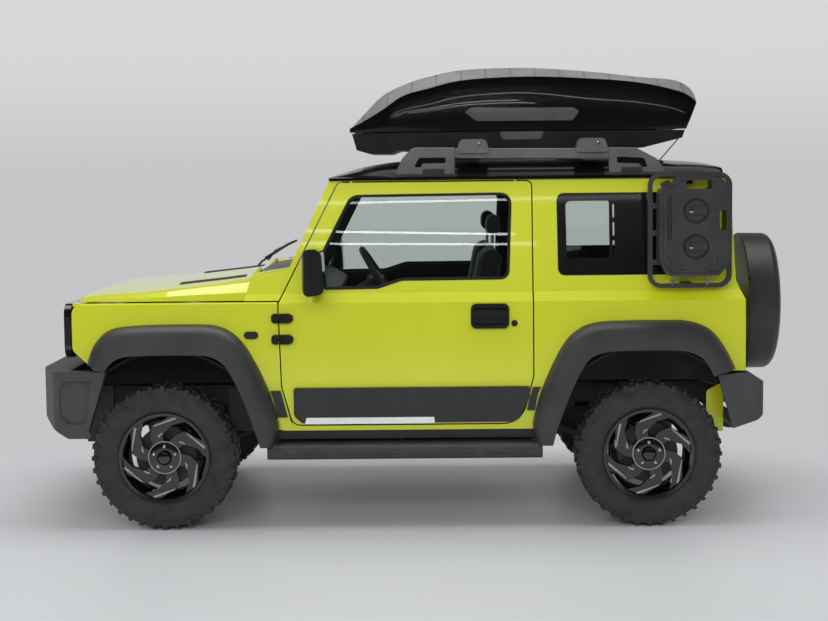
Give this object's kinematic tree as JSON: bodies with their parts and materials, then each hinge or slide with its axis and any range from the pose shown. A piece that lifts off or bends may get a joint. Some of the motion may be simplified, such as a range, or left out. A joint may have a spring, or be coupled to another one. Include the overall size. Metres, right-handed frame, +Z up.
{
  "type": "lifted short-wheelbase off-road 4x4 with roof box",
  "caption": "Boxy lifted off-roader on mud tyres with wide arch flares, side steps, roof rack with luggage box, side jerry can and tailgate spare; doors, bonnet and steering move.",
  "frame": {"origin": "on the ground below the middle of the whole length and width", "axes": "+X to the rear, +Y to the car's right, +Z up"},
  "size_m": [3.63, 1.88, 2.1641],
  "materials": {
    "body_paint": "lime yellow gloss paint",
    "black_paint": "gloss black paint",
    "chassis_black": "satin black chassis paint",
    "bare_metal": "dull cast metal",
    "grey_plastic": "grained dark grey plastic",
    "gloss_plastic": "gloss black plastic",
    "glass": "lightly tinted glass",
    "lamp_lens": "clear lens",
    "signal_lens": "coloured lens",
    "tyre": "off-road tyre rubber",
    "rim": "gloss black alloy with milled edges",
    "rail_alloy": "dark anodised alloy",
    "seat_fabric": "dark grey woven cloth",
    "exhaust_steel": "heat-dulled steel"
  },
  "bodies": {
    "body": {"ladder_frame": "chassis_black", "axles": "chassis_black", "springs_and_dampers": "chassis_black", "suspension_arms": "chassis_black", "engine": "bare_metal", "drivetrain": "bare_metal", "fuel_tank": "chassis_black", "exhaust": "exhaust_steel", "floor_tub": "black_paint", "side_frame_left": "body_paint", "side_frame_right": "body_paint", "rear_frame": "body_paint", "front_wings": "body_paint", "scuttle": "grey_plastic", "fixed_glass": "glass", "grille": "gloss_plastic", "headlamps": "lamp_lens", "signal_lamps": "signal_lens", "front_bumper": "grey_plastic", "rear_bumper": "grey_plastic", "arch_flares": "grey_plastic", "lower_cladding": "grey_plastic", "side_steps": "chassis_black", "roof": "black_paint", "roof_rails": "rail_alloy", "cross_bars": "grey_plastic", "roof_box_base": "grey_plastic", "can_carrier": "chassis_black", "jerry_can": "grey_plastic", "front_seats": "seat_fabric", "rear_bench": "seat_fabric", "dashboard": "grey_plastic", "steering_wheel": "grey_plastic"},
    "door_left": {"door_left_shell": "body_paint", "door_left_glass": "glass", "door_left_trim": "grey_plastic", "door_left_mirror": "gloss_plastic"},
    "door_right": {"door_right_shell": "body_paint", "door_right_glass": "glass", "door_right_trim": "grey_plastic", "door_right_mirror": "gloss_plastic"},
    "bonnet": {"bonnet": "body_paint"},
    "tailgate": {"tailgate_shell": "body_paint", "tailgate_glass": "glass", "spare_wheel_cover": "grey_plastic"},
    "roof_box_lid": {"roof_box_lid": "gloss_plastic"},
    "knuckle_left": {"knuckle_left": "bare_metal"},
    "knuckle_right": {"knuckle_right": "bare_metal"},
    "tie_rod": {"tie_rod": "chassis_black"},
    "wheel_front_left": {"tyre_front_left": "tyre", "rim_front_left": "rim"},
    "wheel_front_right": {"tyre_front_right": "tyre", "rim_front_right": "rim"},
    "wheel_rear_left": {"tyre_rear_left": "tyre", "rim_rear_left": "rim"},
    "wheel_rear_right": {"tyre_rear_right": "tyre", "rim_rear_right": "rim"}
  },
  "joints": [
    {"name": "bonnet_hinge", "type": "hinge", "parent": "body", "child": "bonnet", "pos_m": [-0.735, 0, 1.192], "axis": [0, 1, 0], "range_deg": [0, 55]},
    {"name": "door_left_hinge", "type": "hinge", "parent": "body", "child": "door_left", "pos_m": [-0.609, -0.7515, 0.93], "axis": [0, 0, -1], "range_deg": [0, 65]},
    {"name": "door_right_hinge", "type": "hinge", "parent": "body", "child": "door_right", "pos_m": [-0.609, 0.7515, 0.93], "axis": [0, 0, 1], "range_deg": [0, 65]},
    {"name": "tailgate_hinge", "type": "hinge", "parent": "body", "child": "tailgate", "pos_m": [1.556, 0.6, 0.95], "axis": [0, 0, 1], "range_deg": [0, 90]},
    {"name": "roof_box_hinge", "type": "hinge", "parent": "body", "child": "roof_box_lid", "pos_m": [0, 0.442, 1.8405], "axis": [-1, 0, 0], "range_deg": [0, 50]},
    {"name": "steer_left", "type": "hinge", "parent": "body", "child": "knuckle_left", "pos_m": [-1.16, -0.64, 0.338], "axis": [0, 0, 1], "range_deg": [-32, 32]},
    {"name": "steer_right", "type": "hinge", "parent": "body", "child": "knuckle_right", "pos_m": [-1.16, 0.64, 0.338], "axis": [0, 0, 1], "range_deg": [-32, 32]},
    {"name": "tie_rod_pin", "type": "hinge", "parent": "knuckle_left", "child": "tie_rod", "pos_m": [-1.3, -0.588, 0.22], "axis": [0, 0, 1], "range_deg": [-35, 35]},
    {"name": "wheel_front_left_spin", "type": "hinge", "parent": "knuckle_left", "child": "wheel_front_left", "pos_m": [-1.16, -0.705, 0.338], "axis": [0, 1, 0], "continuous": true},
    {"name": "wheel_front_right_spin", "type": "hinge", "parent": "knuckle_right", "child": "wheel_front_right", "pos_m": [-1.16, 0.705, 0.338], "axis": [0, 1, 0], "continuous": true},
    {"name": "wheel_rear_left_spin", "type": "hinge", "parent": "body", "child": "wheel_rear_left", "pos_m": [1.09, -0.705, 0.338], "axis": [0, 1, 0], "continuous": true},
    {"name": "wheel_rear_right_spin", "type": "hinge", "parent": "body", "child": "wheel_rear_right", "pos_m": [1.09, 0.705, 0.338], "axis": [0, 1, 0], "continuous": true}
  ],
  "couplings": [
    {"joint": "steer_right", "follows": "steer_left", "ratio": 1},
    {"joint": "tie_rod_pin", "follows": "steer_left", "ratio": -1.083}
  ]
}
